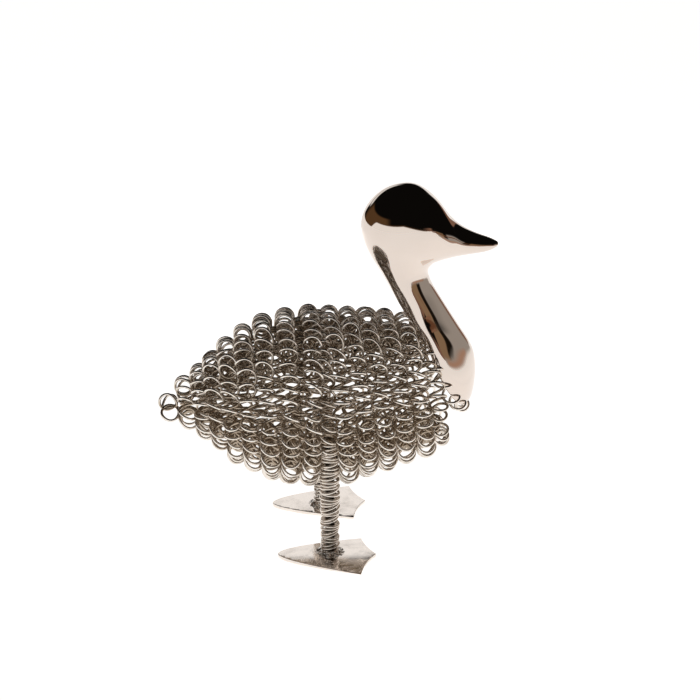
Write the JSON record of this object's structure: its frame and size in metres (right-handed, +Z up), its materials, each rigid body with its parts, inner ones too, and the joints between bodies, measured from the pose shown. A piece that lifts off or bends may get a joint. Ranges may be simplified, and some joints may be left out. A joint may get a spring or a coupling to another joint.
{
  "type": "wire duckling ornament",
  "caption": "Standing duckling ornament with a body of coiled wire hoops, a hollow polished head and neck, and wire-wound legs on flat webbed feet.",
  "frame": {"origin": "on the surface the feet stand on, midway between the legs", "axes": "+X towards the beak, +Y to the duckling's left, +Z up"},
  "size_m": [0.1472, 0.0894, 0.1605],
  "materials": {
    "coil_wire": "bright nickel-plated spring wire",
    "polished_shell": "mirror polished",
    "leg_rod": "plain drawn rod",
    "leg_wire": "bright nickel-plated spring wire",
    "braze": "plated brazed fillet",
    "foot_plate": "polished plate"
  },
  "bodies": {
    "root": {"body_coil_01": "coil_wire", "body_coil_02": "coil_wire", "body_coil_03": "coil_wire", "body_coil_04": "coil_wire", "body_coil_05": "coil_wire", "body_coil_06": "coil_wire", "body_coil_07": "coil_wire", "body_coil_08": "coil_wire", "body_coil_09": "coil_wire", "body_coil_10": "coil_wire", "body_coil_11": "coil_wire", "body_coil_12": "coil_wire", "body_coil_13": "coil_wire", "body_coil_14": "coil_wire", "breast_coil": "coil_wire", "lacing_coil": "coil_wire", "head_and_neck": "polished_shell", "leg_cross_bar": "leg_rod", "right_leg_rod": "leg_rod", "left_leg_rod": "leg_rod", "right_leg_winding": "leg_wire", "left_leg_winding": "leg_wire", "right_braze": "braze", "left_braze": "braze", "right_foot": "foot_plate", "left_foot": "foot_plate"}
  },
  "joints": []
}
